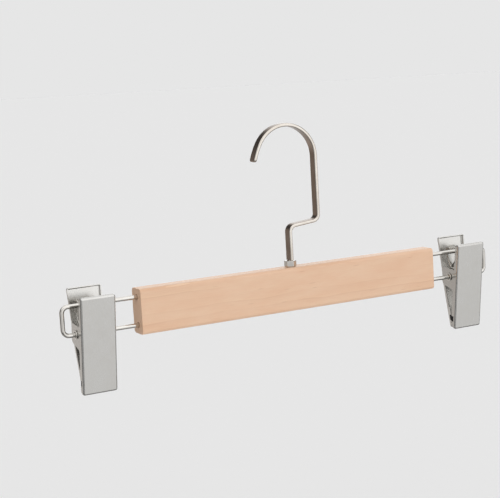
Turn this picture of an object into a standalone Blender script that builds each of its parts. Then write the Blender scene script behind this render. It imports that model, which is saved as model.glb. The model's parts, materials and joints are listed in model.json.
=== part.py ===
"""Clip hanger for trousers and skirts: wooden bar, swivel hook, sprung clip on a wire loop at each end.

Metres, +Z up, +X along the bar, front at -Y. The origin is where a rail carries the hook: the top of
the inside of its crown. Run it in Blender 4.5, from the text editor or with
blender --background --python part.py.
"""

import math

import bmesh
import bpy
from mathutils import Matrix, Vector

# ---------------------------------------------------------------- driving dimensions

CLEARANCE = 0.0003  # between two pieces that seat on each other

BAR_LENGTH = 0.232
BAR_HEIGHT = 0.030
BAR_DEPTH = 0.014
BAR_EDGE_RADIUS = 0.0025
BAR_END_BEVEL = 0.0006

HOOK_RADIUS = 0.0229  # centre line of the crown
HOOK_LIP_RADIUS = 0.0565  # the end of the hook opens out on a wider arc
HOOK_CROWN_ANGLE = math.radians(152)
HOOK_LIP_ANGLE = math.radians(15)
CROWN_CENTRE_HEIGHT = 0.0745  # above the bar's top
CRANK_HEIGHT = 0.0280  # above the bar's top, where the crank leaves the shank
CRANK_RISE = math.radians(6)
CRANK_BEND_RADIUS = 0.0045
STRIP_THICKNESS = 0.0024
STRIP_WIDTH = 0.0065
STRIP_EDGE_BEVEL = 0.0005
STRIP_TIP_RADIUS = 0.0018

SHANK_RADIUS = 0.0020
SHANK_NECK_LENGTH = 0.0030  # cone where the round shank runs out into the flat strip
SHANK_HEAD_RADIUS = 0.0034
SHANK_HEAD_HEIGHT = 0.0018
SWIVEL_CLEARANCE = 0.0003

NUT_ACROSS_FLATS = 0.0075
NUT_HEIGHT = 0.0039
NUT_CHAMFER = 0.0006
SLEEVE_RADIUS = 0.0031
SLEEVE_LENGTH = 0.0090
WASHER_RADIUS = 0.0048
WASHER_THICKNESS = 0.0010
COUNTERBORE_DEPTH = 0.0070
COUNTERBORE_MARGIN = 0.0007

WIRE_RADIUS = 0.0015
LEG_SPACING = 0.0185  # upper leg to lower leg, centre to centre
LOOP_REACH = 0.0515  # from the bar's end to the centre line of the bight
LOOP_BEND_RADIUS = 0.0040
LEG_IN_BAR = 0.0280
LEG_HOLE_CLEARANCE = 0.0004

CLIP_STANDOFF = 0.0310  # from the bar's end to the middle of each clip at rest
SHEET = 0.0008
JAW_WIDTH = 0.0238
FRONT_FACE = 0.0094  # from the pivot to the outer face of the front jaw
BACK_FACE = 0.0105  # and of the back jaw
BITE = 0.0009  # where the pads meet, behind the pivot
REST_TILT = math.radians(7)  # of each jaw to the upright, when shut
JAW_FOOT = -0.0385  # heights along a jaw are from the pivot
FRONT_JAW_TOP = 0.0258
BACK_JAW_TOP = 0.0298
SHEET_BEND_RADIUS = 0.0014
FRONT_FLANGE = 0.0038
BACK_FLANGE = 0.0026
FRONT_THROAT_FLANGE = 0.0046
BACK_THROAT_FLANGE = 0.0030
THROAT_TOP = -0.0092
NOSE_TOP = -0.0245
NOSE_GAP = 0.0040  # between the two flange edges at the nose, when shut
NOSE_STEP = 0.0015  # height of the step from throat to nose
NOTCH_LOW = -0.0330
NOTCH_HIGH = -0.0290
NOTCH_FLOOR = 0.0024
TOP_LIP = 0.0026
TOP_TAPER = 0.0026  # height over which a flange narrows to the lip
FOOT_LIP = 0.0022
FOOT_TAPER = 0.0024
FRONT_EAR_TOP = 0.0062
FRONT_EAR_REACH = 0.0080  # past the pivot
FRONT_EAR_RISE = 0.0022  # of its lower edge
BACK_EAR_RADIUS = 0.0052
BACK_JAW_SPREAD = 0.0011  # each side of the back jaw leans out by this much towards its top
BACK_JAW_PINCH = 0.0021  # and in by this much towards its foot
SQUARE_HEIGHT = 0.0060  # its sides stay square as far as this from the pivot, for the ears

EYELET_BORE_CLEARANCE = 0.0003
EYELET_WALL = 0.0004
EYELET_FLANGE_RADIUS = 0.0030
EYELET_FLANGE = 0.0006

PAD_TOP = -0.0262
PAD_GAP = 0.0004
PAD_RIBS = 6
PAD_RIB_DEPTH = 0.0006
PAD_LUG_INSET = 0.0002

SPRING_WIRE_RADIUS = 0.00055
COIL_RADIUS = 0.0018
COIL_TURNS = 4  # whole turns in each coil, before the part of a turn where its inner leg leaves
COIL_BACK = 0.0040  # the coils lie this far behind the upper wire's axis
COIL_OUTER_X = 0.0091
COIL_INNER_X = 0.0026
COIL_STEPS = 12  # per turn
OUTER_LEG_KNEE = 0.0011
SPRING_TOE_HEIGHT = 0.0042
SPRING_TOE_LENGTH = 0.0026

# ---------------------------------------------------------------- derived places

BAR_TOP_Z = -(CROWN_CENTRE_HEIGHT + HOOK_RADIUS - STRIP_THICKNESS / 2)
BAR_MID_Z = BAR_TOP_Z - BAR_HEIGHT / 2
BAR_BOTTOM_Z = BAR_TOP_Z - BAR_HEIGHT
CROWN_Z = STRIP_THICKNESS / 2 - HOOK_RADIUS
NUT_BASE_Z = BAR_TOP_Z + CLEARANCE
NUT_TOP_Z = NUT_BASE_Z + NUT_HEIGHT
STRIP_BASE_Z = NUT_TOP_Z + CLEARANCE
COUNTERBORE_Z = BAR_BOTTOM_Z + COUNTERBORE_DEPTH
WASHER_TOP_Z = COUNTERBORE_Z - CLEARANCE
WASHER_BASE_Z = WASHER_TOP_Z - WASHER_THICKNESS
HEAD_TOP_Z = WASHER_BASE_Z - CLEARANCE
SHANK_BORE_RADIUS = SHANK_RADIUS + SWIVEL_CLEARANCE

CLIP_X = BAR_LENGTH / 2 + CLIP_STANDOFF
PIVOT_Z = BAR_MID_Z - LEG_SPACING / 2
UPPER_LEG_Z = BAR_MID_Z + LEG_SPACING / 2
EYELET_BORE_RADIUS = WIRE_RADIUS + EYELET_BORE_CLEARANCE
EYELET_RADIUS = EYELET_BORE_RADIUS + EYELET_WALL
EAR_HOLE_RADIUS = EYELET_RADIUS + CLEARANCE
BACK_JAW_WIDTH = JAW_WIDTH - 2 * (SHEET + CLEARANCE)
WIRE_TO_SPRING = WIRE_RADIUS + CLEARANCE + SPRING_WIRE_RADIUS  # between the two axes where they cross
COIL_RISE = math.sqrt((WIRE_TO_SPRING + COIL_RADIUS) ** 2 - COIL_BACK ** 2)
COIL_HEIGHT = LEG_SPACING + COIL_RISE

# Outlines drawn as (y, z) and carried along X, and as (x, z) and carried along Y.
BEVEL_SIDE = Matrix(((0, 0, 1, 0), (1, 0, 0, 0), (0, 1, 0, 0), (0, 0, 0, 1)))
FRONT_VIEW = Matrix(((1, 0, 0, 0), (0, 0, -1, 0), (0, 1, 0, 0), (0, 0, 0, 1)))
AXIS_X = Matrix.Rotation(math.radians(90), 4, "Y")  # turns a shape made about Z to lie about X


# ---------------------------------------------------------------- scene and materials

def clear_scene():
    for thing in list(bpy.data.objects):
        bpy.data.objects.remove(thing, do_unlink=True)


def new_collection(name):
    collection = bpy.data.collections.new(name)
    bpy.context.scene.collection.children.link(collection)
    return collection


def material(name, colour, roughness, metallic):
    made = bpy.data.materials.new(name)
    made.use_nodes = True
    made.diffuse_color = (*colour, 1)
    shader = made.node_tree.nodes["Principled BSDF"]
    shader.inputs["Base Color"].default_value = (*colour, 1)
    shader.inputs["Roughness"].default_value = roughness
    shader.inputs["Metallic"].default_value = metallic
    return made


def add_object(name, data, collection, place=Matrix.Identity(4)):
    made = bpy.data.objects.new(name, data)
    made.matrix_world = place
    collection.objects.link(made)
    return made


# ---------------------------------------------------------------- outlines and paths

def rounded(corners, closed=True, step=math.radians(15)):
    """Points along corners (a, b, radius), with an arc of that radius in place of each corner."""
    points = []
    for index, (a, b, radius) in enumerate(corners):
        corner = Vector((a, b))
        if radius == 0 or (not closed and index in (0, len(corners) - 1)):
            points.append(corner)
            continue
        before = (Vector(corners[index - 1][:2]) - corner).normalized()
        after = (Vector(corners[(index + 1) % len(corners)][:2]) - corner).normalized()
        half = before.angle(after) / 2
        centre = corner + (before + after).normalized() * (radius / math.sin(half))
        start = corner + before * (radius / math.tan(half)) - centre
        end = corner + after * (radius / math.tan(half)) - centre
        turn = math.atan2(start.x * end.y - start.y * end.x, start.dot(end))
        pieces = max(2, math.ceil(abs(turn) / step))
        for piece in range(pieces + 1):
            angle = math.atan2(start.y, start.x) + turn * piece / pieces
            points.append(centre + radius * Vector((math.cos(angle), math.sin(angle))))
    return points


def arc(centre, radius, start, turn, step=math.radians(6)):
    pieces = max(2, math.ceil(abs(turn) / step))
    angles = [start + turn * piece / pieces for piece in range(pieces + 1)]
    return [centre + radius * Vector((math.cos(angle), math.sin(angle))) for angle in angles]


def strip_outline(path, thickness):
    """Closed outline of a strip of this thickness, whose middle follows the path."""
    left, right = [], []
    for index, point in enumerate(path):
        along = (path[min(index + 1, len(path) - 1)] - path[max(index - 1, 0)]).normalized()
        across = Vector((-along.y, along.x)) * thickness / 2
        left.append(point + across)
        right.append(point - across)
    return left + right[::-1]


# ---------------------------------------------------------------- solids

def baked_mesh(source):
    """The mesh that the object shows, with its modifiers applied. The object itself is removed."""
    bpy.context.view_layer.update()
    evaluated = source.evaluated_get(bpy.context.evaluated_depsgraph_get())
    mesh = bpy.data.meshes.new_from_object(evaluated)
    shape = bmesh.new()
    shape.from_mesh(mesh)
    bmesh.ops.remove_doubles(shape, verts=shape.verts, dist=1e-6)
    bmesh.ops.dissolve_limit(shape, angle_limit=math.radians(0.05), verts=shape.verts, edges=shape.edges)
    shape.to_mesh(mesh)
    shape.free()
    mesh.name = source.name
    bpy.data.objects.remove(source, do_unlink=True)
    return mesh


def prism(name, outline, width, turned_to):
    """A flat outline drawn out to this width, half to each side."""
    curve = bpy.data.curves.new(name, "CURVE")
    curve.dimensions = "2D"
    curve.fill_mode = "BOTH"
    curve.extrude = width / 2
    spline = curve.splines.new("POLY")
    spline.points.add(len(outline) - 1)
    for point, (a, b) in zip(spline.points, outline):
        point.co = (a, b, 0, 1)
    spline.use_cyclic_u = True
    mesh = baked_mesh(add_object(name, curve, WORKBENCH))
    mesh.transform(turned_to)
    return mesh


def turned(name, profile, ring=False, steps=24):
    """A profile of (radius, height) points, top to bottom down its outer side, turned about Z."""
    mesh = bpy.data.meshes.new(name)
    count = len(profile)
    edges = [(index, index + 1) for index in range(count - 1)] + ([(count - 1, 0)] if ring else [])
    mesh.from_pydata([(radius, 0, height) for radius, height in profile], edges, [])
    blank = add_object(name, mesh, WORKBENCH)
    screw = blank.modifiers.new("turn", "SCREW")
    screw.steps = screw.render_steps = steps
    screw.use_merge_vertices = True
    screw.merge_threshold = 1e-5
    return baked_mesh(blank)


def cylinder(name, radius, low, high, steps=24):
    return turned(name, [(0, high), (radius, high), (radius, low), (0, low)], steps=steps)


def box(name, low, high):
    mesh = bpy.data.meshes.new(name)
    shape = bmesh.new()
    bmesh.ops.create_cube(shape, size=1)
    size = Vector(high) - Vector(low)
    middle = (Vector(high) + Vector(low)) / 2
    placed = Matrix.Translation(middle) @ Matrix.Diagonal((*size, 1))
    bmesh.ops.transform(shape, matrix=placed, verts=shape.verts)
    shape.to_mesh(mesh)
    shape.free()
    return mesh


def wire(name, points, radius, resolution):
    """A round wire along the points, as one closed mesh."""
    curve = bpy.data.curves.new(name, "CURVE")
    curve.dimensions = "3D"
    curve.bevel_depth = radius
    curve.bevel_resolution = resolution
    curve.use_fill_caps = True
    curve.twist_mode = "MINIMUM"
    spline = curve.splines.new("POLY")
    spline.points.add(len(points) - 1)
    for point, place in zip(spline.points, points):
        point.co = (*place, 1)
    return baked_mesh(add_object(name, curve, WORKBENCH))


def bevelled(mesh, radius, segments, chosen):
    """The mesh with a round of this radius on each edge that chosen(middle, along) picks."""
    shape = bmesh.new()
    shape.from_mesh(mesh)
    edges = []
    for edge in shape.edges:
        ends = [vert.co for vert in edge.verts]
        along = (ends[1] - ends[0]).normalized()
        if edge.calc_face_angle(0) > math.radians(40) and chosen((ends[0] + ends[1]) / 2, along):
            edges.append(edge)
    bmesh.ops.bevel(shape, geom=edges, offset=radius, segments=segments, affect="EDGES", profile=0.5)
    shape.to_mesh(mesh)
    shape.free()
    return mesh


def combined(mesh, others, operation):
    """The mesh with the others cut from it, joined to it, or kept only where they meet."""
    for other in others:
        body = add_object(mesh.name, mesh, WORKBENCH)
        tool = add_object("tool", other, WORKBENCH)
        change = body.modifiers.new(operation, "BOOLEAN")
        change.operation = operation
        change.object = tool
        mesh = baked_mesh(body)
        bpy.data.objects.remove(tool, do_unlink=True)
    return mesh


def finished(name, mesh, surface, place=Matrix.Identity(4), parent=None):
    """The named piece: smooth where it is round, with its own material."""
    mesh.name = name
    mesh.materials.clear()
    mesh.materials.append(surface)
    mesh.shade_smooth()
    mesh.set_sharp_from_angle(angle=math.radians(30))
    piece = add_object(name, mesh, HANGER)
    piece.parent = parent
    piece.matrix_local = place
    return piece


# ---------------------------------------------------------------- wooden bar

def wooden_bar():
    half_depth, half_height = BAR_DEPTH / 2, BAR_HEIGHT / 2
    section = rounded([
        (-half_depth, BAR_MID_Z - half_height, BAR_EDGE_RADIUS),
        (half_depth, BAR_MID_Z - half_height, BAR_EDGE_RADIUS),
        (half_depth, BAR_MID_Z + half_height, BAR_EDGE_RADIUS),
        (-half_depth, BAR_MID_Z + half_height, BAR_EDGE_RADIUS),
    ])
    mesh = prism("wooden_bar", section, BAR_LENGTH, BEVEL_SIDE)
    end = BAR_LENGTH / 2 - BAR_END_BEVEL
    mesh = bevelled(mesh, BAR_END_BEVEL, 2, lambda middle, along: abs(middle.x) > end)
    below = BAR_BOTTOM_Z - BAR_HEIGHT
    holes = [
        cylinder("sleeve_bore", SLEEVE_RADIUS + CLEARANCE, NUT_BASE_Z - SLEEVE_LENGTH - CLEARANCE, 0),
        cylinder("shank_bore", SHANK_BORE_RADIUS, below, 0),
        cylinder("counterbore", WASHER_RADIUS + COUNTERBORE_MARGIN, below, COUNTERBORE_Z),
    ]
    for side in (-1, 1):
        for leg_z in (PIVOT_Z, UPPER_LEG_Z):
            depth = LEG_IN_BAR + LEG_HOLE_CLEARANCE
            hole = cylinder("leg_hole", WIRE_RADIUS + LEG_HOLE_CLEARANCE, -depth, BAR_LENGTH / 4)
            facing_end = Matrix.Diagonal((side, side, 1, 1)) @ AXIS_X
            hole.transform(Matrix.Translation((side * BAR_LENGTH / 2, 0, leg_z)) @ facing_end)
            holes.append(hole)
    return combined(mesh, holes, "DIFFERENCE")


# ---------------------------------------------------------------- swivel hook

def hook_path():
    """Middle line of the hook's strip, from the nut up the shank, round the crank and over the crown."""
    crank_z = BAR_TOP_Z + CRANK_HEIGHT
    path = rounded([
        (0, STRIP_BASE_Z, 0),
        (0, crank_z, CRANK_BEND_RADIUS),
        (HOOK_RADIUS, crank_z + HOOK_RADIUS * math.tan(CRANK_RISE), CRANK_BEND_RADIUS),
        (HOOK_RADIUS, CROWN_Z, 0),
    ], closed=False)
    crown = Vector((0, CROWN_Z))
    end = Vector((math.cos(HOOK_CROWN_ANGLE), math.sin(HOOK_CROWN_ANGLE)))
    lip_centre = crown + (HOOK_RADIUS - HOOK_LIP_RADIUS) * end
    path += arc(crown, HOOK_RADIUS, 0, HOOK_CROWN_ANGLE)[1:]
    path += arc(lip_centre, HOOK_LIP_RADIUS, HOOK_CROWN_ANGLE, HOOK_LIP_ANGLE)[1:]
    return path


def hook():
    path = hook_path()
    strip = prism("hook", strip_outline(path, STRIP_THICKNESS), STRIP_WIDTH, FRONT_VIEW)
    tip = Vector((path[-1].x, 0, path[-1].y))

    def tip_corner(middle, along):
        at_side = (middle - tip).length < STRIP_WIDTH * 0.7 and abs(middle.y) > STRIP_WIDTH / 3
        return at_side and abs(along.y) < 0.1 and is_end_edge(middle, path)

    def long_edge(middle, along):
        return middle.z > STRIP_BASE_Z + STRIP_EDGE_BEVEL

    strip = bevelled(strip, STRIP_TIP_RADIUS, 3, tip_corner)
    strip = bevelled(strip, STRIP_EDGE_BEVEL, 2, long_edge)
    shank = turned("shank", [
        (0, STRIP_BASE_Z + SHANK_NECK_LENGTH),
        (STRIP_THICKNESS / 3, STRIP_BASE_Z + SHANK_NECK_LENGTH),
        (SHANK_RADIUS, STRIP_BASE_Z),
        (SHANK_RADIUS, HEAD_TOP_Z),
        (SHANK_HEAD_RADIUS, HEAD_TOP_Z),
        (SHANK_HEAD_RADIUS, HEAD_TOP_Z - SHANK_HEAD_HEIGHT / 2),
        (SHANK_HEAD_RADIUS * 0.7, HEAD_TOP_Z - SHANK_HEAD_HEIGHT),
        (0, HEAD_TOP_Z - SHANK_HEAD_HEIGHT),
    ])
    return combined(strip, [shank], "UNION")


def is_end_edge(middle, path):
    """True on the face that closes the strip at the hook's tip, and not on its long faces."""
    along = (path[-1] - path[-2]).normalized()
    return abs((Vector((middle.x, middle.z)) - path[-1]).dot(along)) < STRIP_THICKNESS / 10


def hook_nut():
    """Hex collar with a sleeve let into the bar, bored for the shank."""
    corner = NUT_ACROSS_FLATS / math.sqrt(3)
    side = [(0, NUT_TOP_Z), (corner, NUT_TOP_Z), (corner, NUT_BASE_Z), (0, NUT_BASE_Z)]
    body = turned("hook_nut", side, steps=6)
    body.transform(Matrix.Rotation(math.radians(30), 4, "Z"))
    chamfered = turned("nut_round", [
        (0, NUT_TOP_Z),
        (corner - NUT_CHAMFER, NUT_TOP_Z),
        (corner + NUT_CHAMFER / 2, NUT_TOP_Z - NUT_CHAMFER),
        (corner + NUT_CHAMFER / 2, NUT_BASE_Z - NUT_CHAMFER),
        (0, NUT_BASE_Z - NUT_CHAMFER),
    ])
    sleeve = cylinder("sleeve", SLEEVE_RADIUS, NUT_BASE_Z - SLEEVE_LENGTH, NUT_BASE_Z + NUT_HEIGHT / 2)
    bore = cylinder("nut_bore", SHANK_BORE_RADIUS, NUT_BASE_Z - 2 * SLEEVE_LENGTH, NUT_TOP_Z + NUT_HEIGHT)
    body = combined(body, [chamfered], "INTERSECT")
    body = combined(body, [sleeve], "UNION")
    return combined(body, [bore], "DIFFERENCE")


def hook_washer():
    return turned("hook_washer", [
        (SHANK_BORE_RADIUS, WASHER_TOP_Z),
        (WASHER_RADIUS, WASHER_TOP_Z),
        (WASHER_RADIUS, WASHER_BASE_Z),
        (SHANK_BORE_RADIUS, WASHER_BASE_Z),
    ], ring=True)


# ---------------------------------------------------------------- wire loops

def wire_loop(side):
    """U of wire whose two legs are let into one end of the bar."""
    root = side * (BAR_LENGTH / 2 - LEG_IN_BAR)
    bight = side * (BAR_LENGTH / 2 + LOOP_REACH)
    outline = rounded([
        (root, UPPER_LEG_Z, 0),
        (bight, UPPER_LEG_Z, LOOP_BEND_RADIUS),
        (bight, PIVOT_Z, LOOP_BEND_RADIUS),
        (root, PIVOT_Z, 0),
    ], closed=False)
    return wire("wire_loop", [(x, 0, z) for x, z in outline], WIRE_RADIUS, 4)


# ---------------------------------------------------------------- clip jaws

def middle_depth(side, face, height, gap):
    """Depth in from a jaw's outer face, at this height, to its edge of a gap about where the pads meet."""
    slant = math.cos(REST_TILT)
    return face - side * BITE / slant + height * math.tan(REST_TILT) - gap / 2 / slant


def jaw_outline(side, face, top, flange, throat_flange, ear):
    """Side view of a jaw as (y, z), pivot at the origin: side is -1 for the front jaw, 1 for the back."""

    def nose(height):
        return middle_depth(side, face, height, NOSE_GAP), height

    corners = [
        (0, top, 0),
        (0, JAW_FOOT, 0),
        (FOOT_LIP, JAW_FOOT, 0.0010),
        (*nose(JAW_FOOT + FOOT_TAPER), 0.0010),
        (*nose(NOTCH_LOW), 0),
        (NOTCH_FLOOR, NOTCH_LOW, 0),
        (NOTCH_FLOOR, NOTCH_HIGH, 0),
        (*nose(NOTCH_HIGH), 0),
        (*nose(NOSE_TOP), 0.0004),
        (throat_flange, NOSE_TOP + NOSE_STEP, 0.0004),
        *ear,
        (flange, top - TOP_TAPER, 0.0020),
        (TOP_LIP, top, 0.0006),
    ]
    return [(side * (face - depth), height) for depth, height in rounded(corners)]


def front_ear():
    """Broad ear that laps the back jaw's flange, and carries the eyelet."""
    reach = FRONT_FACE + FRONT_EAR_REACH
    return [
        (FRONT_THROAT_FLANGE, THROAT_TOP, 0.0022),
        (reach, THROAT_TOP + FRONT_EAR_RISE, 0.0030),
        (reach, FRONT_EAR_TOP, 0.0020),
        (FRONT_FLANGE, FRONT_EAR_TOP, 0.0010),
    ]


def back_ear():
    """Round ear inside the front jaw's ear."""
    reach = BACK_FACE + BACK_EAR_RADIUS
    corner = BACK_EAR_RADIUS * 0.96
    return [
        (BACK_THROAT_FLANGE, -BACK_EAR_RADIUS, 0.0014),
        (reach, -BACK_EAR_RADIUS, corner),
        (reach, BACK_EAR_RADIUS, corner),
        (BACK_FLANGE, BACK_EAR_RADIUS, 0.0010),
    ]


def jaw(side, face, width, top, flange, throat_flange, ear):
    """Sheet-metal jaw: a plate with side flanges, ears, top lip and foot lip, its pivot on the X axis."""
    mesh = prism("jaw", jaw_outline(side, face, top, flange, throat_flange, ear), width, BEVEL_SIDE)
    outer = side * face
    mesh = bevelled(mesh, SHEET_BEND_RADIUS, 3, lambda middle, along: abs(middle.y - outer) < SHEET / 10)
    half = width / 2 - SHEET
    ends = sorted((side * (face - SHEET), -side * 2 * face))
    hollow = box("hollow", (-half, ends[0], JAW_FOOT + SHEET), (half, ends[1], top - SHEET))
    hole = cylinder("ear_hole", EAR_HOLE_RADIUS, -width, width)
    hole.transform(AXIS_X)
    return combined(mesh, [hollow, hole], "DIFFERENCE")


def tapered(mesh):
    """The back jaw or its pad, with its sides drawn out towards the top and in towards the foot."""
    shape = bmesh.new()
    shape.from_mesh(mesh)
    for height in (SQUARE_HEIGHT, -SQUARE_HEIGHT):
        parts = shape.verts[:] + shape.edges[:] + shape.faces[:]
        bmesh.ops.bisect_plane(shape, geom=parts, dist=1e-6, plane_co=(0, 0, height), plane_no=(0, 0, 1))
    for vert in shape.verts:
        above = max(vert.co.z - SQUARE_HEIGHT, 0) * BACK_JAW_SPREAD / (BACK_JAW_TOP - SQUARE_HEIGHT)
        below = max(-vert.co.z - SQUARE_HEIGHT, 0) * BACK_JAW_PINCH / (-JAW_FOOT - SQUARE_HEIGHT)
        if abs(vert.co.x) > BACK_JAW_WIDTH / 4:
            vert.co.x += math.copysign(1, vert.co.x) * (above - below)
    shape.to_mesh(mesh)
    shape.free()
    return mesh


def pad(side, face, width):
    """Rubber pad in a jaw's nose, ribbed across, with a lug in the notch of each side flange."""
    back = SHEET + CLEARANCE
    low = JAW_FOOT + SHEET + CLEARANCE
    pitch = (PAD_TOP - low) / PAD_RIBS
    corners = [(back, PAD_TOP), (back, low)]
    for rib in range(PAD_RIBS):
        for share, depth in ((0.0, PAD_RIB_DEPTH), (0.25, 0), (0.65, 0), (0.9, PAD_RIB_DEPTH)):
            height = low + pitch * (rib + share)
            corners.append((middle_depth(side, face, height, PAD_GAP) - depth, height))
    corners.append((middle_depth(side, face, PAD_TOP, PAD_GAP) - PAD_RIB_DEPTH, PAD_TOP))
    outline = [(side * (face - depth), height) for depth, height in corners]
    mesh = prism("pad", outline, width - 2 * (SHEET + CLEARANCE), BEVEL_SIDE)
    depths = (NOTCH_FLOOR + CLEARANCE, middle_depth(side, face, NOTCH_LOW, NOSE_GAP))
    ends = sorted(side * (face - depth) for depth in depths)
    half = width / 2 - PAD_LUG_INSET
    lug = box("lug", (-half, ends[0], NOTCH_LOW + CLEARANCE), (half, ends[1], NOTCH_HIGH - CLEARANCE))
    return combined(mesh, [lug], "UNION")


def eyelet():
    """Rolled eyelet through a front ear and the back ear inside it, its outer flange at +X."""
    outer = JAW_WIDTH / 2 + CLEARANCE
    inner = BACK_JAW_WIDTH / 2 - SHEET - CLEARANCE
    soft = EYELET_FLANGE / 3
    mesh = turned("eyelet", [
        (EYELET_BORE_RADIUS, outer + EYELET_FLANGE),
        (EYELET_FLANGE_RADIUS - soft, outer + EYELET_FLANGE),
        (EYELET_FLANGE_RADIUS, outer + EYELET_FLANGE - soft),
        (EYELET_FLANGE_RADIUS, outer),
        (EYELET_RADIUS, outer),
        (EYELET_RADIUS, inner),
        (EYELET_FLANGE_RADIUS, inner),
        (EYELET_FLANGE_RADIUS, inner - EYELET_FLANGE + soft),
        (EYELET_FLANGE_RADIUS - soft, inner - EYELET_FLANGE),
        (EYELET_BORE_RADIUS, inner - EYELET_FLANGE),
    ], ring=True)
    mesh.transform(AXIS_X)
    return mesh


# ---------------------------------------------------------------- clip spring

def toe(side, face):
    """Middle of the spring's wire where it bears on the inner face of a jaw, as (y, z)."""
    reach = (face - SHEET) / math.cos(REST_TILT) + SPRING_TOE_HEIGHT * math.tan(REST_TILT)
    return side * (reach - CLEARANCE - SPRING_WIRE_RADIUS), SPRING_TOE_HEIGHT


def outer_leg():
    """Outer leg's route as (y, z): from the front jaw, behind the upper wire, to the coil's back."""
    y, z = toe(-1, FRONT_FACE)
    coil_back = COIL_BACK + COIL_RADIUS
    return rounded([
        (y + SPRING_TOE_LENGTH * math.sin(REST_TILT), z - SPRING_TOE_LENGTH, 0),
        (y, z, 0.0010),
        (OUTER_LEG_KNEE, z + SPRING_TOE_LENGTH, 0.0024),
        (coil_back, LEG_SPACING - WIRE_TO_SPRING, 0.0040),
        (coil_back, COIL_HEIGHT, 0),
    ], closed=False, step=math.radians(20))


def middle_leg():
    """Angle at which the wire leaves a coil over the upper wire's front, and its route to the back jaw."""
    wire = Vector((0, LEG_SPACING))
    foot = Vector(toe(1, BACK_FACE))
    between = Vector((COIL_BACK, COIL_RISE))
    lean = math.acos((WIRE_TO_SPRING - COIL_RADIUS) / between.length)
    leaving = math.atan2(between.y, between.x) + lean
    down = foot - wire
    turning = math.tau + math.atan2(down.y, down.x) - math.acos(WIRE_TO_SPRING / down.length)
    return leaving, [*arc(wire, WIRE_TO_SPRING, leaving, turning - leaving, math.radians(20)), foot]


def half_spring():
    """The spring's +X half: outer leg on the front jaw, coil, and half the loop on the back jaw."""
    points = [Vector((COIL_OUTER_X, y, z)) for y, z in outer_leg()]
    leaving, inner = middle_leg()
    sweep = math.tau * COIL_TURNS + leaving
    steps = round(COIL_STEPS * sweep / math.tau)
    for step in range(1, steps + 1):
        angle = sweep * step / steps
        x = COIL_OUTER_X + (COIL_INNER_X - COIL_OUTER_X) * step / steps
        y = COIL_BACK + COIL_RADIUS * math.cos(angle)
        points.append(Vector((x, y, COIL_HEIGHT + COIL_RADIUS * math.sin(angle))))
    return points + [Vector((COIL_INNER_X, y, z)) for y, z in inner]


def spring():
    """Double torsion spring: it hooks over the upper wire, and its legs push the jaws' tops apart."""
    half = half_spring()
    other = [Vector((-point.x, point.y, point.z)) for point in reversed(half)]
    return wire("spring", half + other, SPRING_WIRE_RADIUS, 2)


# ---------------------------------------------------------------- assembly

def build():
    wood = material("beech", (0.76, 0.52, 0.36), 0.55, 0.0)
    strip_steel = material("hook_steel", (0.55, 0.53, 0.50), 0.28, 1.0)
    wire_steel = material("wire_steel", (0.75, 0.74, 0.71), 0.15, 1.0)
    plate_steel = material("plate_steel", (0.52, 0.51, 0.48), 0.32, 1.0)
    spring_steel = material("spring_steel", (0.60, 0.59, 0.57), 0.25, 1.0)
    rubber = material("rubber", (0.03, 0.03, 0.03), 0.75, 0.0)

    finished("wooden_bar", wooden_bar(), wood)
    finished("hook", hook(), strip_steel)
    finished("hook_nut", hook_nut(), strip_steel)
    finished("hook_washer", hook_washer(), strip_steel)
    for side, word in ((-1, "left"), (1, "right")):
        finished(f"{word}_wire_loop", wire_loop(side), wire_steel)

    front = FRONT_FACE, JAW_WIDTH, FRONT_JAW_TOP, FRONT_FLANGE, FRONT_THROAT_FLANGE, front_ear()
    back = BACK_FACE, BACK_JAW_WIDTH, BACK_JAW_TOP, BACK_FLANGE, BACK_THROAT_FLANGE, back_ear()
    for sign, word in ((-1, "left"), (1, "right")):
        place = Matrix.Translation((sign * CLIP_X, 0, PIVOT_Z))
        pivot = add_object(f"{word}_clip_pivot", None, HANGER, place)
        for name, side, (face, width, *sizes) in (("front", -1, front), ("back", 1, back)):
            shut = Matrix.Rotation(-side * REST_TILT, 4, "X")
            plate, grip = jaw(side, face, width, *sizes), pad(side, face, width)
            if name == "back":
                plate, grip = tapered(plate), tapered(grip)
            finished(f"{word}_{name}_jaw", plate, plate_steel, shut, pivot)
            finished(f"{word}_{name}_pad", grip, rubber, shut, pivot)
        finished(f"{word}_spring", spring(), spring_steel, parent=pivot)
        for name, out in (("outer", sign), ("inner", -sign)):
            faced = Matrix.Rotation(0 if out > 0 else math.pi, 4, "Z")
            finished(f"{word}_{name}_eyelet", eyelet(), wire_steel, faced, pivot)


clear_scene()
WORKBENCH = new_collection("workbench")
HANGER = new_collection("clip_hanger")
build()
bpy.data.collections.remove(WORKBENCH)
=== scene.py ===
# %% [markdown]
# # A clip hanger, dressed for the camera
#
# A shop hangs trousers and skirts on a hanger like this one: a planed beech bar, a flat steel hook that
# swivels in a hexagon collar, and at each end a loop of bright wire with a sprung sheet-metal clip on it.
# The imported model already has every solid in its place, so it is loaded first as a frame that never moves,
# and each piece made here is drawn over the solid that it stands for.

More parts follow.
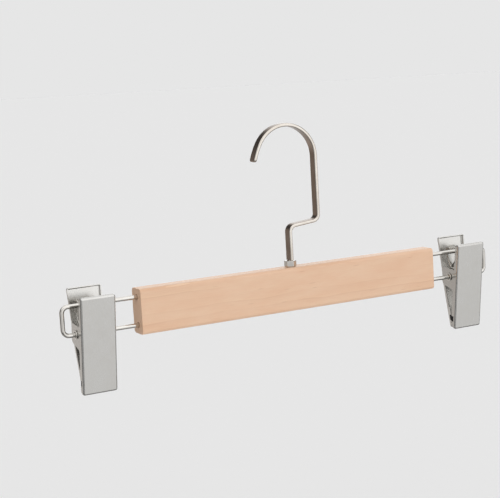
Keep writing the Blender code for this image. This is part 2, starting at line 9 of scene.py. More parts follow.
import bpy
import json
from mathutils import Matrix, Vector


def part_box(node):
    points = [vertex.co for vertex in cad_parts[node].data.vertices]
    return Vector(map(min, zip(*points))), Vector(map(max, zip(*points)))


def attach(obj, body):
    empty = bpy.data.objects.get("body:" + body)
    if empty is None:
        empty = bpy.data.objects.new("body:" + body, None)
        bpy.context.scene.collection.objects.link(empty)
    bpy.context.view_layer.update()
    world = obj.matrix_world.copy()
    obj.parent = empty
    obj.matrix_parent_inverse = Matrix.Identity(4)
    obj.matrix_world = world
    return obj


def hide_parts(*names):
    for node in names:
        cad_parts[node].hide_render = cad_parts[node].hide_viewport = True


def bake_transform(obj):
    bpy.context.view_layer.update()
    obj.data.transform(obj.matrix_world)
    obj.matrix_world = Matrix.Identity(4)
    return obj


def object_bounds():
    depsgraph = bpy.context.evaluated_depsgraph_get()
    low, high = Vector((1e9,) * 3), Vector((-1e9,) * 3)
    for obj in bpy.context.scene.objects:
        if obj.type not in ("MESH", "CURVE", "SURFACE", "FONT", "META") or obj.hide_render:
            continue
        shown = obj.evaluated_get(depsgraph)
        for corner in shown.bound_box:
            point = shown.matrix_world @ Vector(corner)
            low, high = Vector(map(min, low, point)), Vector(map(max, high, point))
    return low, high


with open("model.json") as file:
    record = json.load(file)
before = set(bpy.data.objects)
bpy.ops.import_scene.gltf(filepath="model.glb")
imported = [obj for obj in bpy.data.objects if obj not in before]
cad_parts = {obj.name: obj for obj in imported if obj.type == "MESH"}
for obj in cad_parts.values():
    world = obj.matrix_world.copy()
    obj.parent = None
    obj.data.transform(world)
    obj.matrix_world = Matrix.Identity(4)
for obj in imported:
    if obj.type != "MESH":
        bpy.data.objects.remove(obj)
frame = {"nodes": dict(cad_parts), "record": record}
cad_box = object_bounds()
print("solids:", len(frame["nodes"]), "in", [round(1000 * side, 1) for side in cad_box[1] - cad_box[0]], "mm")

# %% Blender's own modules, and the body that carries each solid
import json
import math

import bmesh
import bpy
from mathutils import Matrix, Vector

MM = 0.001
carried_by = {node: body for body, nodes in frame["record"]["behaviour"]["bodies"].items() for node in nodes}
print("bodies:", sorted(set(carried_by.values())))

# %% [markdown]
# ## Places
#
# A maker marks out from faces that are there already. Here those faces are the solids' boxes, so nothing
# has to be fitted by eye: the wire's thickness and the heights of its two legs come from the box of a wire
# loop, and the pivot of each clip is the lower leg.

# %% Mark out the bar, the wires and the clip pivots
bar_low, bar_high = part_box("wooden_bar")
bar_middle = (bar_low + bar_high) / 2
loop_low, loop_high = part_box("right_wire_loop")
wire_radius = (loop_high.y - loop_low.y) / 2
upper_wire_z = loop_high.z - wire_radius
lower_wire_z = loop_low.z + wire_radius
clip_x = {word: sum(corner.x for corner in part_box(f"{word}_front_jaw")) / 2 for word in ("left", "right")}
print("wire", round(2000 * wire_radius, 2), "mm, clips at", [round(1000 * x, 1) for x in clip_x.values()])

# %% [markdown]
# ## Camera
#
# The hanger is seen from a little above, from its left front corner, through a fairly long lens that keeps
# its lines nearly parallel, and the camera is rolled a few degrees. The camera is built from three
# directions, forward, right and up, because they say plainly where it looks and how far it is rolled.

# %% Camera: its turn, lift and roll, lens and sensor in millimetres, and metres from the bar's middle
TURN, LIFT, ROLL = (math.radians(angle) for angle in (28.2, 7.8, -3.3))
LENS, SENSOR = 91.44, 36
AWAY, ASIDE, RAISED = 0.8768, 0.0287, 0.0269

forward = Vector((math.sin(TURN) * math.cos(LIFT), math.cos(TURN) * math.cos(LIFT), -math.sin(LIFT)))
level = Vector((math.cos(TURN), -math.sin(TURN), 0))
upright = level.cross(forward)
right = level * math.cos(ROLL) + upright * math.sin(ROLL)
up = upright * math.cos(ROLL) - level * math.sin(ROLL)

lens = bpy.data.cameras.new("camera")
lens.lens, lens.sensor_width = LENS, SENSOR
camera = bpy.data.objects.new("camera", lens)
bpy.context.scene.collection.objects.link(camera)
bpy.context.scene.camera = camera
stand = bar_middle - forward * AWAY - right * ASIDE + up * RAISED
camera.matrix_world = Matrix.Translation(stand) @ Matrix((right, up, -forward)).transposed().to_4x4()
print("camera stands", round((stand - bar_middle).length, 3), "m from the middle of the bar")

# %% [markdown]
# ## Adding shader nodes
#
# Every finish below is a small tree of nodes. One function adds any kind of node: it takes the node's
# sockets as a dictionary, where a value fills a socket and another node's output is linked to it, and the
# node's own settings by name. A second one turns a colour from a paint chart, written as six hex digits,
# into the linear light that shaders work in.

# %% Helpers for shader nodes and colours
def add(tree, kind, sockets=None, **settings):
    """Adds a node of this kind, with its settings, and fills or links its sockets."""
    node = tree.nodes.new("ShaderNode" + kind)
    for name, value in settings.items():
        setattr(node, name, value)
    for name, value in (sockets or {}).items():
        if isinstance(value, bpy.types.NodeSocket):
            tree.links.new(value, node.inputs[name])
        else:
            node.inputs[name].default_value = value
    return node


def linear(chart):
    """The linear colour of six sRGB hex digits."""
    parts = [int(chart[start:start + 2], 16) / 255 for start in (0, 2, 4)]
    return *(part / 12.92 if part <= 0.04045 else ((part + 0.055) / 1.055) ** 2.4 for part in parts), 1


print("pale grey", [round(part, 3) for part in linear("E6E6E6")])

# %% [markdown]
# ## Studio light
#
# Plated metal shows its surroundings more than itself, so the room matters as much as the finish. A product
# studio puts a few large soft boxes round the object and keeps the rest of the room dark, which gives metal
# a bright core between darker sides. Area lamps could do that, but lamps close by would also light the
# floor in patches. The boxes are drawn into the world instead, as soft discs on the sky: each is the angle
# between the direction looked in and the box's direction, turned into brightness by a Map Range node and
# then into light of the box's colour. The key is brighter in its core, and a narrow strip beside it is
# brighter still, so that round edges catch a line of light. The dim ones behind and below stand for walls
# and a floor, and keep the far side of the metal from going black. The camera itself sees only a plain pale
# backdrop.

# %% Soft boxes: direction seen from the hanger, half width and softness in degrees, brightness, colour
SOFT_BOXES = {
    "key": ((0.40, -1.0, 0.0), 40, 12, 0.70, "FFFFFF"),
    "core of the key": ((0.46, -0.88, 0.12), 14, 8, 0.45, "FFFFFF"),
    "bright strip": ((0.12, -0.98, 0.0), 6, 4, 0.90, "FFFFFF"),
    "overhead": ((0.0, -0.15, 1.0), 52, 12, 1.00, "FFFFFF"),
    "left fill": ((-0.9, -0.75, 0.10), 30, 10, 0.55, "FFFFFF"),
    "right strip": ((1.0, -0.05, -0.06), 15, 8, 0.50, "FFFFFF"),
    "rim": ((0.65, 1.0, 0.32), 24, 12, 0.60, "FFFFFF"),
    "warm wall": ((-0.47, 0.87, -0.14), 23, 9, 0.38, "F0E6DE"),
    "back fill": ((0.45, 0.85, -0.33), 40, 14, 0.55, "FFFFFF"),
    "low fill behind on the left": ((-0.54, 0.54, -0.64), 24, 12, 0.35, "FFFFFF"),
    "pale floor near the hanger": ((0.0, 0.0, -1.0), 40, 12, 0.15, "FFFFFF"),
}
ROOM = 0.12  # brightness of the room between the boxes
BACKDROP = linear("E6E6E6")

world = bpy.data.worlds.new("studio")
bpy.context.scene.world = world
world.use_nodes = True
sky = world.node_tree
sky.nodes.clear()
look = add(sky, "TexCoord").outputs["Generated"]
light = add(sky, "CombineXYZ", {"X": ROOM, "Y": ROOM, "Z": ROOM}).outputs[0]
for name, (direction, half_width, softness, brightness, colour) in SOFT_BOXES.items():
    towards = Vector(direction).normalized()
    facing = add(sky, "VectorMath", {0: look, 1: towards}, operation="DOT_PRODUCT", label=name)
    dark, bright = (math.cos(math.radians(half_width + soft)) for soft in (softness, -softness))
    disc = add(sky, "MapRange", {"Value": facing.outputs["Value"], "From Min": dark, "From Max": bright,
                                 "To Max": brightness}, interpolation_type="SMOOTHSTEP")
    light = add(sky, "VectorMath", {0: disc.outputs[0], 1: linear(colour)[:3], 2: light},
                operation="MULTIPLY_ADD").outputs[0]
room = add(sky, "Background", {"Color": light, "Strength": 1.0})
backdrop = add(sky, "Background", {"Color": BACKDROP, "Strength": 1.0})
seen = add(sky, "LightPath").outputs["Is Camera Ray"]
mixed = add(sky, "MixShader", {0: seen, 1: room.outputs[0], 2: backdrop.outputs[0]})
add(sky, "OutputWorld", {"Surface": mixed.outputs[0]})
bpy.context.scene.view_settings.view_transform = "Standard"
print("soft boxes:", ", ".join(SOFT_BOXES))

# %% [markdown]
# ## Floor
#
# The hanger hangs free, so the floor lies some way below it. It is one very wide disc of matt board, whose
# grey is chosen so that it comes out as bright as the backdrop and their meeting line can't be seen. Metal
# doesn't mirror it: a pale floor in every reflection would take the dark sides away from the wires.

# %% Floor: how far it lies below the hanger, and how far it reaches, in metres
FLOOR_DROP, FLOOR_REACH = 0.30, 60

board = bpy.data.materials.new("matt_board")
board.use_nodes = True
board.node_tree.nodes.clear()
chalky = add(board.node_tree, "BsdfDiffuse", {"Color": linear("F4F4F4")})
add(board.node_tree, "OutputMaterial", {"Surface": chalky.outputs[0]})
disc = bmesh.new()
place = Matrix.Translation((0, 0, cad_box[0].z - FLOOR_DROP))
bmesh.ops.create_circle(disc, cap_ends=True, radius=FLOOR_REACH, segments=96, matrix=place)
floor_mesh = bpy.data.meshes.new("floor")
disc.to_mesh(floor_mesh)
disc.free()
floor_mesh.materials.append(board)
floor = bpy.data.objects.new("floor", floor_mesh)
floor.visible_glossy = False
bpy.context.scene.collection.objects.link(floor)
print("floor", round(-1000 * place.translation.z), "mm below the rail")

# %% [markdown]
# # Finishes
#
# Seven finishes cover the hanger. Each starts from what the real surface is and how it was made, and each
# pattern is drawn in Object coordinates, which are metres here, so a scale is simply one over a size in
# metres.

# %% A new material with its Principled shader
def finish(name, **sockets):
    """A material called after its real surface: its node tree and its shader, with these plain values."""
    made = bpy.data.materials.new(name)
    made.use_nodes = True
    shader = made.node_tree.nodes["Principled BSDF"]
    for socket, value in sockets.items():
        shader.inputs[socket.replace("_", " ").title().replace("Ior", "IOR")].default_value = value
    return made, made.node_tree, shader


# %% [markdown]
# ## Lacquered beech
#
# The bar is planed and sanded beech under a thin satin lacquer. Beech is a close, even wood: growth rings a
# few millimetres apart that show as faint long lines, small dark flecks where its rays are cut across, and
# darker end grain that drinks the lacquer. The rings are one solid pattern of cylinders round the tree's
# heart, which lies behind and below the bar, so the faces show lines and the ends show arcs of the same
# rings, as real wood does. A tree grows neither round nor evenly, so a slow noise pushes the rings about,
# and another makes them fade in and out. All the patterns are stretched along the bar, because wood changes
# slowly along its grain.

# %% Lacquered beech: growth rings
RING_SPACING, RING_WANDER, WANDER_SIZE, CLOUD_SIZE = 4.2 * MM, 5.0 * MM, 16 * MM, 11 * MM
GRAIN_STRETCH, SLOW_STRETCH = 0.06, 0.22  # how much sparser patterns are along the bar
HEART, LEAN = (0, -47 * MM, 172 * MM), (0, 0.006, 0.010)  # moves and turns the rings' middle off the bar
WAVE_SPACING = 0.314  # how far apart a Wave texture's rings are at scale 1

beech, tree, shader = finish("lacquered_beech", ior=1.5, coat_weight=0.35, coat_roughness=0.22, coat_ior=1.5)
metres = add(tree, "TexCoord").outputs["Object"]
along = add(tree, "Mapping", {"Vector": metres, "Scale": (GRAIN_STRETCH, 1, 1)}).outputs[0]
slow = add(tree, "Mapping", {"Vector": metres, "Scale": (SLOW_STRETCH, 1, 1)}).outputs[0]
push = add(tree, "TexNoise", {"Vector": slow, "Scale": 1 / WANDER_SIZE, "Detail": 2.0, "Roughness": 0.5})
centred = add(tree, "VectorMath", {0: push.outputs["Color"], 1: (0.5, 0.5, 0.5)}, operation="SUBTRACT")
pushed = add(tree, "VectorMath", {0: centred.outputs[0], 1: (RING_WANDER,) * 3, 2: along},
             operation="MULTIPLY_ADD")
from_heart = add(tree, "Mapping", {"Vector": pushed.outputs[0], "Location": HEART, "Rotation": LEAN})
rings = add(tree, "TexWave", {"Vector": from_heart.outputs[0], "Scale": WAVE_SPACING / RING_SPACING,
                              "Distortion": 1.2, "Detail": 3.0, "Detail Scale": 0.25,
                              "Detail Roughness": 0.6},
            wave_type="RINGS", rings_direction="X", wave_profile="SAW")
clouds = add(tree, "TexNoise", {"Vector": along, "Scale": 1 / CLOUD_SIZE, "Detail": 3.0, "Roughness": 0.55})
fading = add(tree, "MapRange", {"Value": clouds.outputs["Fac"], "From Min": 0.38, "From Max": 0.66,
                                "To Min": 0.10})
ring_colour = add(tree, "ValToRGB", {"Fac": rings.outputs["Fac"]})
ring_colour.color_ramp.elements[0].color = linear("EFC8A7")
ring_colour.color_ramp.elements[1].color = linear("E1B592")
ring_colour.color_ramp.elements.new(0.82).color = linear("EAC1A1")
faded = add(tree, "MixRGB", {"Fac": fading.outputs[0], "Color1": linear("EEC6A6"),
                             "Color2": ring_colour.outputs[0]})
print("beech rings", round(1000 * RING_SPACING, 1), "mm apart, pushed", round(1000 * RING_WANDER, 1), "mm")

# %% Lacquered beech: mottling, fibres and ray flecks
# Real fibres are about 0.02 mm thick, too fine to show, so they are drawn as bundles of 0.5 mm.
FIBRE, FLECK_SPACING, MOTTLE_SIZE = 0.5 * MM, 2.6 * MM, 7 * MM
FLECK_STRETCH = 0.11

mottled = add(tree, "TexNoise", {"Vector": slow, "Scale": 1 / MOTTLE_SIZE, "Detail": 3.0, "Roughness": 0.5})
tint = add(tree, "MixRGB", {"Fac": 0.32, "Color1": faded.outputs[0], "Color2": mottled.outputs["Fac"]},
           blend_type="SOFT_LIGHT")
fibres = add(tree, "TexNoise", {"Vector": along, "Scale": 1 / FIBRE, "Detail": 3.0, "Roughness": 0.65})
thread = add(tree, "MixRGB", {"Fac": 0.20, "Color1": tint.outputs[0], "Color2": fibres.outputs["Fac"]},
             blend_type="SOFT_LIGHT")
fleck_grid = add(tree, "Mapping", {"Vector": metres, "Scale": (FLECK_STRETCH, 1, 1)}).outputs[0]
fleck_cells = add(tree, "TexVoronoi", {"Vector": fleck_grid, "Scale": 1 / FLECK_SPACING, "Randomness": 1.0})
fleck_here = add(tree, "MapRange", {"Value": fleck_cells.outputs["Distance"], "From Min": 0.05,
                                    "From Max": 0.15, "To Min": 0.32, "To Max": 0.0})
flecked = add(tree, "MixRGB", {"Fac": fleck_here.outputs[0], "Color1": thread.outputs[0],
                               "Color2": linear("C4926E")})
print("beech: flecks", round(1000 * FLECK_SPACING, 1), "mm apart")

# %% Lacquered beech: end grain, and the lacquer's own surface
PORE, FIBRE_RELIEF, FLECK_RELIEF = 0.5 * MM, 0.06 * MM, 0.05 * MM

facing = add(tree, "NewGeometry").outputs["Normal"]
sideways = add(tree, "SeparateXYZ", {"Vector": facing}).outputs["X"]
end_grain = add(tree, "Math", {0: sideways, 1: 4}, operation="POWER").outputs[0]
pores = add(tree, "TexNoise", {"Vector": metres, "Scale": 1 / PORE, "Detail": 2.0, "Roughness": 0.7})
end_colour = add(tree, "MixRGB", {"Fac": 0.35, "Color1": linear("E6C2A2"), "Color2": pores.outputs["Fac"]},
                 blend_type="SOFT_LIGHT")
end_rings = add(tree, "MixRGB", {"Fac": 0.25, "Color1": end_colour.outputs[0],
                                 "Color2": ring_colour.outputs[0]}, blend_type="MULTIPLY")
whole = add(tree, "MixRGB", {"Fac": end_grain, "Color1": flecked.outputs[0], "Color2": end_rings.outputs[0]})
tree.links.new(whole.outputs[0], shader.inputs["Base Color"])
sheen_patches = add(tree, "MapRange", {"Value": clouds.outputs["Fac"], "To Min": 0.42, "To Max": 0.56})
tree.links.new(sheen_patches.outputs[0], shader.inputs["Roughness"])
raised = add(tree, "Bump", {"Height": fibres.outputs["Fac"], "Strength": 0.18, "Distance": FIBRE_RELIEF})
pressed = add(tree, "Bump", {"Height": fleck_here.outputs[0], "Normal": raised.outputs[0], "Strength": 0.25,
                             "Distance": FLECK_RELIEF}, invert=True)
tree.links.new(pressed.outputs[0], shader.inputs["Normal"])
print("beech: end grain with pores of", round(1000 * PORE, 1), "mm, under lacquer")

# %% [markdown]
# ## Plated metals
#
# All the metal is nickel plated but for one zinc washer, and what tells the parts apart is the steel under
# the plate. The hook is brushed strip, with fine lines along it. The clips are pressed from rolled sheet,
# which leaves a soft satin skin with a slight unevenness. The wire is drawn through a polished die and
# stays bright. One recipe makes them all: streaks stretched along the way the metal was worked, and slow
# clouds of handling. Both reach the colour and the roughness, and the streaks a shallow bump too. Real
# working marks are a few hundredths of a millimetre apart, too fine to show, so they are drawn at least ten
# times as coarse.

# %% Plated metal
HANDLING, LINE_RELIEF = 9 * MM, 0.03 * MM


def plated(name, colour, worn, dull, spread, line, stretch, depth):
    """Plate over steel: line is the spacing of the working marks, stretch how sparse they are on an axis."""
    made, tree, shader = finish(name, metallic=1.0)
    metres = add(tree, "TexCoord").outputs["Object"]
    drawn = add(tree, "Mapping", {"Vector": metres, "Scale": stretch}).outputs[0]
    streaks = add(tree, "TexNoise", {"Vector": drawn, "Scale": 1 / line, "Detail": 3.0, "Roughness": 0.65})
    clouds = add(tree, "TexNoise", {"Vector": metres, "Scale": 1 / HANDLING, "Detail": 2.0, "Roughness": 0.5})
    both = add(tree, "Math", {0: streaks.outputs["Fac"], 1: clouds.outputs["Fac"]},
               operation="ADD").outputs[0]
    mean = add(tree, "Math", {0: both, 1: 0.5}, operation="MULTIPLY").outputs[0]
    tone = add(tree, "ValToRGB", {"Fac": mean})
    for stop, position, shade in zip(tone.color_ramp.elements, (0.35, 0.65), (worn, colour)):
        stop.position, stop.color = position, linear(shade)
    tree.links.new(tone.outputs[0], shader.inputs["Base Color"])
    gloss = add(tree, "MapRange", {"Value": both, "From Min": 0.7, "From Max": 1.3, "To Min": dull - spread,
                                   "To Max": dull + spread})
    tree.links.new(gloss.outputs[0], shader.inputs["Roughness"])
    relief = add(tree, "Bump", {"Height": streaks.outputs["Fac"], "Strength": depth, "Distance": LINE_RELIEF})
    tree.links.new(relief.outputs[0], shader.inputs["Normal"])
    return made


satin_nickel = plated("satin_nickel_sheet", "DAD9D6", "D2D0CC", dull=0.24, spread=0.04, line=0.5 * MM,
                      stretch=(1, 1, 0.05), depth=0.05)
bright_nickel = plated("bright_nickel_wire", "E4E1DC", "D8D4CE", dull=0.09, spread=0.03, line=0.3 * MM,
                       stretch=(0.06, 1, 1), depth=0.04)
spring_steel = plated("nickel_spring_wire", "D2CFC9", "C2BEB6", dull=0.18, spread=0.04, line=0.3 * MM,
                      stretch=(1, 1, 1), depth=0.05)
zinc = plated("zinc_plated_washer", "BFC1C4", "AEB1B6", dull=0.38, spread=0.07, line=0.6 * MM,
              stretch=(1, 1, 1), depth=0.25)
print("plated metals: 4")

# %% [markdown]
# ## Brushed hook strip
#
# The strip for the hook is rolled, brushed on its two wide faces, and polished on its narrow edges, where
# the die has rubbed it. The wide faces are painted darker, a greyish brown painted shade that stands for
# the dark room they mirror, so they look darker than the edges. The hook bends only in its own plane, so
# the wide faces are the ones that never face along Y, and the narrow ones always do: one Map Range on that
# part of the surface's direction tells them apart.

# %% Brushed hook strip, with painted shade on its wide faces
# this material carries painted shade on the hook's wide faces as well as its brushed streaks
strip_nickel_painted_shade = plated("brushed_strip_with_painted_shade", "E8E2DA", "CFC6BC", dull=0.17, spread=0.04, line=0.9 * MM,
                        stretch=(0.03, 1, 0.03), depth=0.20)
tree = strip_nickel_painted_shade.node_tree
base_colour = tree.nodes["Principled BSDF"].inputs["Base Color"]
bare = base_colour.links[0].from_socket
facing = add(tree, "NewGeometry").outputs["Normal"]
forwards = add(tree, "SeparateXYZ", {"Vector": facing}).outputs["Y"]
squarely = add(tree, "Math", {0: forwards}, operation="ABSOLUTE")
on_edge = add(tree, "MapRange", {"Value": squarely.outputs[0], "From Min": 0.15, "From Max": 0.75})
# painted shade: greyish brown on the wide faces, which never face along Y; the narrow faces keep their colour
painted_face_shade = add(tree, "MixRGB", {"Fac": on_edge.outputs[0], "Color1": linear("A89C94"),
                            "Color2": linear("FFFFFF")})
# the painted shade darkens the strip's own streaked colour by multiplying it
with_painted_shade = add(tree, "MixRGB", {"Fac": 1.0, "Color1": bare, "Color2": painted_face_shade.outputs[0]}, blend_type="MULTIPLY")
tree.links.new(with_painted_shade.outputs[0], base_colour)
print("brushed strip: dark faces, bright edges")

# %% [markdown]
# ## Moulded rubber
#
# The pads that hold the cloth are black rubber, moulded in a blasted mould. The mould leaves a fine even
# grain and almost no gloss, and the rubber is never quite black: it greys where dust sits on it.

# %% Moulded rubber
GRIT, DUST, GRIT_RELIEF = 0.4 * MM, 4 * MM, 0.05 * MM

rubber, tree, shader = finish("moulded_black_rubber", ior=1.52, specular_ior_level=0.35)
metres = add(tree, "TexCoord").outputs["Object"]
grit = add(tree, "TexNoise", {"Vector": metres, "Scale": 1 / GRIT, "Detail": 3.0, "Roughness": 0.6})
dust = add(tree, "TexNoise", {"Vector": metres, "Scale": 1 / DUST, "Detail": 2.0})
grey = add(tree, "ValToRGB", {"Fac": dust.outputs["Fac"]})
for stop, position, shade in zip(grey.color_ramp.elements, (0.3, 0.75), ("1B1B1C", "2C2B2B")):
    stop.position, stop.color = position, linear(shade)
tree.links.new(grey.outputs[0], shader.inputs["Base Color"])
matt = add(tree, "MapRange", {"Value": grit.outputs["Fac"], "To Min": 0.62, "To Max": 0.85})
tree.links.new(matt.outputs[0], shader.inputs["Roughness"])
blasted = add(tree, "Bump", {"Height": grit.outputs["Fac"], "Strength": 0.4, "Distance": GRIT_RELIEF})
tree.links.new(blasted.outputs[0], shader.inputs["Normal"])
print("rubber grain", round(1000 * GRIT, 1), "mm")

# %% [markdown]
# # Pieces
#
# A finished piece is a mesh whose place is in its points, so its object stays at the origin. It rides on
# the body that carries its solid, or, when it is given a flex, on none, and the solid it stands for is
# hidden. One function does all of that, and shades the surface smooth except across its sharp edges. Smooth
# shading would make a flat plate look swollen, because it blends the plate into its rounded edges, so a
# Weighted Normal modifier lets the largest faces keep their own direction and leaves the blending to the
# rounds.


def put_on(name, shape, surface, solid, crease=40, flex=None):
    """Makes this shape the piece that stands for a solid, where edges sharper than the crease stay sharp.
    Flex holds a body and two points, but only whether it is given is used: a piece with flex keeps its place
    and rides on no body."""
    mesh = bpy.data.meshes.new(name)
    shape.to_mesh(mesh)
    shape.free()
    mesh.materials.append(surface)
    mesh.shade_smooth()
    mesh.set_sharp_from_angle(angle=math.radians(crease))
    piece = bpy.data.objects.new(name, mesh)
    bpy.context.scene.collection.objects.link(piece)
    piece.modifiers.new("flats stay flat", "WEIGHTED_NORMAL").keep_sharp = True
    if flex:
        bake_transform(piece)
    else:
        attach(piece, carried_by[solid])
    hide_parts(solid)
    print(f"{name}: {len(mesh.polygons)} faces")


def refinish(solid, surface):
    """Gives this finish to a solid that is already the right shape."""
    materials = frame["nodes"][solid].data.materials
    materials.clear()
    materials.append(surface)
    print(f"{solid}: {surface.name}")


def ease(shape, edges, radius, segments=2):
    """Takes the sharpness off these edges with a round."""
    bmesh.ops.bevel(shape, geom=edges, offset=radius, offset_type="OFFSET", segments=segments, profile=0.5,
                    affect="EDGES", clamp_overlap=True, material=-1)


def sharp_edges(shape, degrees):
    """The edges whose two faces meet at more than this angle."""
    return [edge for edge in shape.edges
            if edge.is_manifold and edge.calc_face_angle(0) > math.radians(degrees)]


# %% [markdown]
# ## Drilling and joining
#
# Blender's editing operators have no drill. A Boolean modifier does it well, on objects that exist only for
# as long as the cut takes. The same helper joins two shapes. The sheet of the jaws needs such an object too,
# so laying a shape on the bench and taking the changed shape off again are helpers of their own.

# %% The bench, the Boolean helper and a drill
SAME_PLACE = 1e-6  # metres: points nearer than this are one
BEYOND = 20 * MM  # how far past a face a drill starts


def on_bench(shape):
    """An object of this shape, which is used up, for a modifier to work on."""
    mesh = bpy.data.meshes.new("bench")
    shape.to_mesh(mesh)
    shape.free()
    work = bpy.data.objects.new("bench", mesh)
    bpy.context.scene.collection.objects.link(work)
    return work


def off_bench(*work):
    """The first object's shape with its modifier applied. All of them leave the bench."""
    bpy.context.view_layer.update()
    changed = work[0].evaluated_get(bpy.context.evaluated_depsgraph_get())
    result = bmesh.new()
    result.from_mesh(bpy.data.meshes.new_from_object(changed))
    for leftover in work:
        bpy.data.objects.remove(leftover, do_unlink=True)
    return result


def combined(shape, tool, operation):
    """The shape with the tool cut from it or joined to it. Both are used up."""
    work, other = on_bench(shape), on_bench(tool)
    change = work.modifiers.new("change", "BOOLEAN")
    change.operation, change.object, change.solver = operation, other, "EXACT"
    result = off_bench(work, other)
    bmesh.ops.remove_doubles(result, verts=result.verts, dist=SAME_PLACE)
    return result


def rod(start, end, radius):
    """A round bar from start to end."""
    made = bmesh.new()
    start, end = Vector(start), Vector(end)
    lie = (end - start).to_track_quat("Z", "Y").to_matrix().to_4x4()
    bmesh.ops.create_cone(made, cap_ends=True, segments=40, radius1=radius, radius2=radius,
                          depth=(end - start).length, matrix=Matrix.Translation((start + end) / 2) @ lie)
    return made


# %% [markdown]
# ## Wooden bar
#
# The bar is sawn to length, its four long edges are rounded with a router, and its ends are only sanded. A
# cube scaled to the bar's box takes the same steps as bevels: a wide round along the edges, then a small
# one round each end. Two holes in each end take the legs of a wire loop, and a stepped hole through the
# middle takes the hook.

# %% Plane and round the bar
LONG_ROUND, END_ROUND = 2.5 * MM, 0.6 * MM

bar = bmesh.new()
box = Matrix.Translation(bar_middle) @ Matrix.Diagonal((*(bar_high - bar_low), 1))
bmesh.ops.create_cube(bar, size=1, matrix=box)
ease(bar, [edge for edge in bar.edges if edge.calc_length() > (bar_high.x - bar_low.x) / 2], LONG_ROUND, 8)
at_ends = [edge for edge in bar.edges
           if all(abs(abs(vert.co.x) - bar_high.x) < SAME_PLACE for vert in edge.verts)]
ease(bar, at_ends, END_ROUND, 4)
print("bar:", len(bar.faces), "faces before drilling")

# %% Drill the bar
PLAY = 0.3 * MM  # between parts that turn or slide
LEG_PLAY = 0.4 * MM
SHANK_BORE, SLEEVE_BORE, COUNTERBORE = 2.3 * MM, 3.4 * MM, 5.5 * MM  # radii
nut_low, nut_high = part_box("hook_nut")
washer_low, washer_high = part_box("hook_washer")

above, below = bar_high.z + BEYOND, bar_low.z - BEYOND
for bottom, top, radius in ((nut_low.z - PLAY, above, SLEEVE_BORE), (below, above, SHANK_BORE),
                            (below, washer_high.z + PLAY, COUNTERBORE)):
    bar = combined(bar, rod((0, 0, bottom), (0, 0, top), radius), "DIFFERENCE")
leg_root_x, outside_x = loop_low.x - LEG_PLAY, bar_high.x + BEYOND
for side in (-1, 1):
    for height in (upper_wire_z, lower_wire_z):
        hole = rod((side * leg_root_x, 0, height), (side * outside_x, 0, height), wire_radius + LEG_PLAY)
        bar = combined(bar, hole, "DIFFERENCE")
put_on("beech_bar", bar, beech, "wooden_bar", crease=30)

# %% [markdown]
# ## A wire bender
#
# The hook, the wire loops and the springs are all made on a bending machine: it feeds straight wire, and
# turns it round a pin for each bend. The same two moves make them here. Feeding extrudes the wire's section
# along a line, and bending spins it about the pin's axis, so the section stays true all the way, which a
# curve with a bevel doesn't promise in tight bends.

# %% Wire bender
def open_section(radius, start, along, segments=28):
    """A new shape with a round section at the start of a wire."""
    shape = bmesh.new()
    lie = along.to_track_quat("Z", "Y").to_matrix().to_4x4()
    bmesh.ops.create_circle(shape, radius=radius, segments=segments, matrix=Matrix.Translation(start) @ lie)
    return shape, shape.edges[:]


def feed(shape, front, move):
    """Feeds the section straight along this move."""
    grown = bmesh.ops.extrude_edge_only(shape, edges=front)["geom"]
    moved = {item for item in grown if isinstance(item, bmesh.types.BMVert)}
    bmesh.ops.translate(shape, vec=move, verts=list(moved))
    return [item for item in grown if isinstance(item, bmesh.types.BMEdge) and moved.issuperset(item.verts)]


def bend(shape, front, pin, axis, angle, shift=Vector(), step=math.radians(7.5)):
    """Turns the section round a pin, and shifts it along by this much on the way, as for a coil."""
    steps = max(3, math.ceil(abs(angle) / step))
    spun = bmesh.ops.spin(shape, geom=front, cent=pin, axis=axis, dvec=shift / steps, angle=angle,
                          steps=steps, use_merge=False, use_normal_flip=False, use_duplicate=False)
    return [item for item in spun["geom_last"] if isinstance(item, bmesh.types.BMEdge)]


def run(shape, front, place, corners, end):
    """From its place through (corner, bend radius) pairs to the end, with a bend at each corner."""
    targets = [corner for corner, radius in corners[1:]] + [end]
    for (corner, radius), target in zip(corners, targets):
        before, after = (corner - place).normalized(), (target - corner).normalized()
        axis = before.cross(after).normalized()
        start = corner - before * radius * math.tan(before.angle(after) / 2)
        front = feed(shape, front, start - place)
        front = bend(shape, front, start + axis.cross(before) * radius, axis, before.angle(after))
        place = corner + after * radius * math.tan(before.angle(after) / 2)
    return feed(shape, front, end - place)


def closed_wire(shape, round_end):
    """Closes both ends of a wire, with a small round at each, and turns every face outwards."""
    caps = bmesh.ops.holes_fill(shape, edges=[edge for edge in shape.edges if edge.is_boundary])["faces"]
    bmesh.ops.recalc_face_normals(shape, faces=shape.faces)
    ease(shape, list({edge for cap in caps for edge in cap.edges}), round_end)
    return shape


# %% [markdown]
# ## Swivel hook
#
# The hook is one flat strip of steel, 2.4 mm thick and as wide as its riveted head, bent on its flat: up
# from the collar, across in a short crank, up again and over in a round crown whose tip opens out a little,
# so that it slips over a rail. Its section is a rectangle with eased corners. The tip is ground round, which
# here is a few short feeds, each a little narrower and thinner than the last. The crank puts the crown's
# middle over the bar's, so the hanger hangs level. Below the collar the strip becomes a round shank with a
# riveted head, which is turned: a few profile points spun about Z.

# %% Mark out the hook
hook_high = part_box("hook")[1]
STRIP_THICK, STRIP_WIDE, STRIP_EDGE = 2.4 * MM, 2 * hook_high.y, 0.8 * MM
CROWN_RADIUS, LIP_RADIUS, CRANK_BEND = 22.9 * MM, 56.5 * MM, 4.5 * MM
CRANK_HEIGHT, CRANK_RISE = 28 * MM, math.radians(6)  # over the bar, and across
CROWN_ANGLE, LIP_ANGLE = math.radians(152), math.radians(10.5)


def out_at(angle):
    """The way out from the crown's middle at this angle over +X."""
    return Vector((math.cos(angle), 0, math.sin(angle)))


